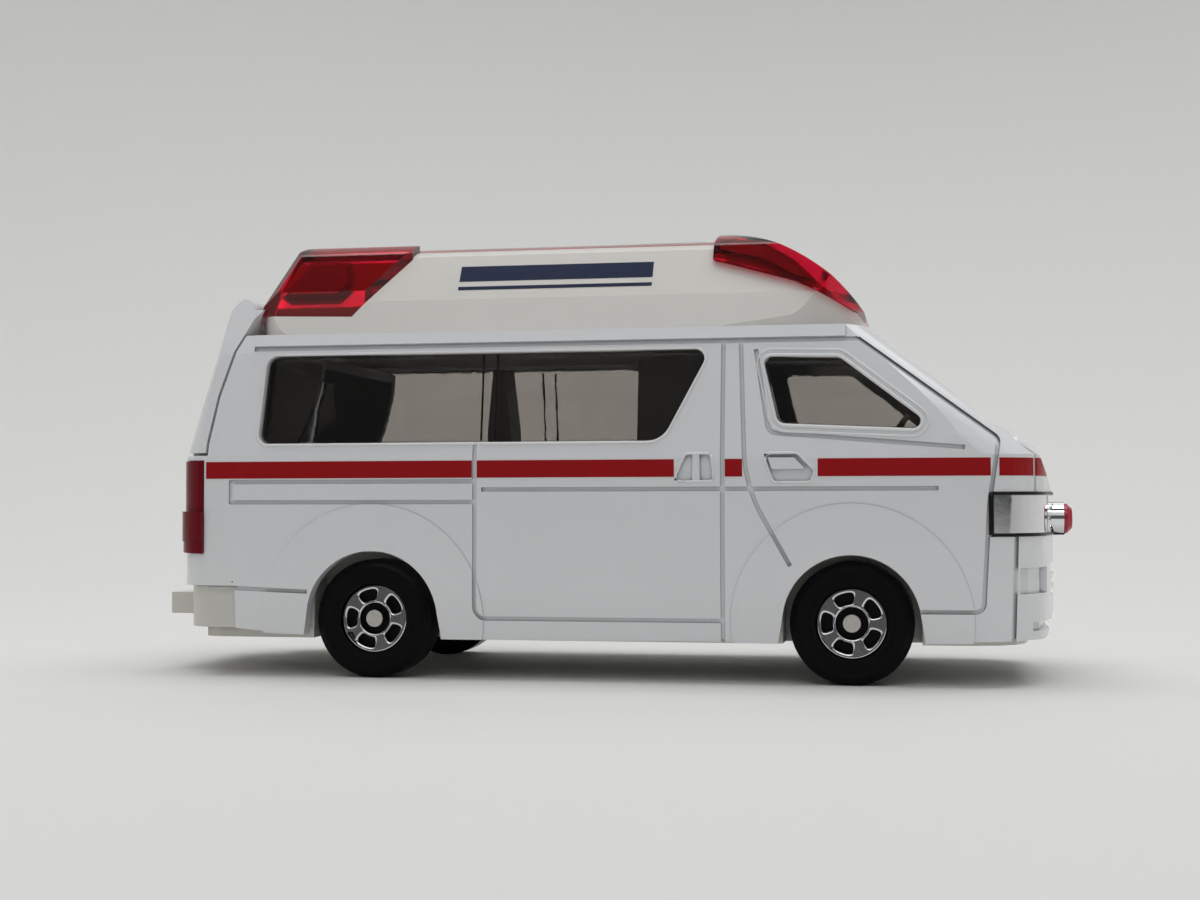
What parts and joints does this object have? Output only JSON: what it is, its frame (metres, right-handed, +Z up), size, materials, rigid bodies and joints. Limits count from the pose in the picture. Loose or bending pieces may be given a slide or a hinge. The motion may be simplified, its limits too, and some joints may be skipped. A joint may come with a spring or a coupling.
{
  "type": "die-cast toy ambulance van",
  "caption": "Small die-cast toy ambulance: high-roof van with red roof lamps, tinted glazing, opening tailgate and free-rolling wheels.",
  "frame": {"origin": "on the floor under the middle of the part's box", "axes": "+X forward, +Y to the vehicle's left, +Z up"},
  "size_m": [0.0794, 0.0286, 0.0386],
  "materials": {
    "white_paint": "gloss white enamel",
    "roof_white": "moulded glossy off-white",
    "lamp_red": "clear red moulding",
    "window_tint": "clear smoke-tinted moulding",
    "chrome": "bright plated",
    "flasher_red": "gloss red",
    "tail_lamp_red": "gloss crimson paint",
    "chassis_white": "moulded off-white",
    "interior_grey": "moulded dark grey",
    "rivet_metal": "bare peened metal",
    "axle_steel": "bare drawn wire",
    "wheel_black": "moulded glossy black"
  },
  "bodies": {
    "root": {"body_shell": "white_paint", "high_roof": "roof_white", "roof_lamps": "lamp_red", "glazing": "window_tint", "headlamp_insert": "chrome", "grille_flashers": "flasher_red", "tail_lamps": "tail_lamp_red", "chassis_base": "chassis_white", "cabin_interior": "interior_grey", "front_rivet": "rivet_metal", "rear_rivet": "rivet_metal"},
    "front_wheels": {"front_axle": "axle_steel", "tyre_front_right": "wheel_black", "tyre_front_left": "wheel_black", "hub_front_right": "chrome", "hub_front_left": "chrome"},
    "rear_wheels": {"rear_axle": "axle_steel", "tyre_rear_right": "wheel_black", "tyre_rear_left": "wheel_black", "hub_rear_right": "chrome", "hub_rear_left": "chrome"},
    "tailgate": {"tailgate": "white_paint", "tailgate_glass": "window_tint"}
  },
  "joints": [
    {"name": "front_axle_roll", "type": "hinge", "parent": "root", "child": "front_wheels", "pos_m": [0.0214, 0, 0.00505], "axis": [0, 1, 0], "continuous": true},
    {"name": "rear_axle_roll", "type": "hinge", "parent": "root", "child": "rear_wheels", "pos_m": [-0.0191, 0, 0.00505], "axis": [0, 1, 0], "continuous": true},
    {"name": "tailgate_hinge", "type": "hinge", "parent": "root", "child": "tailgate", "pos_m": [-0.0315, 0, 0.0319], "axis": [0, 1, 0], "range_deg": [0, 80]}
  ]
}
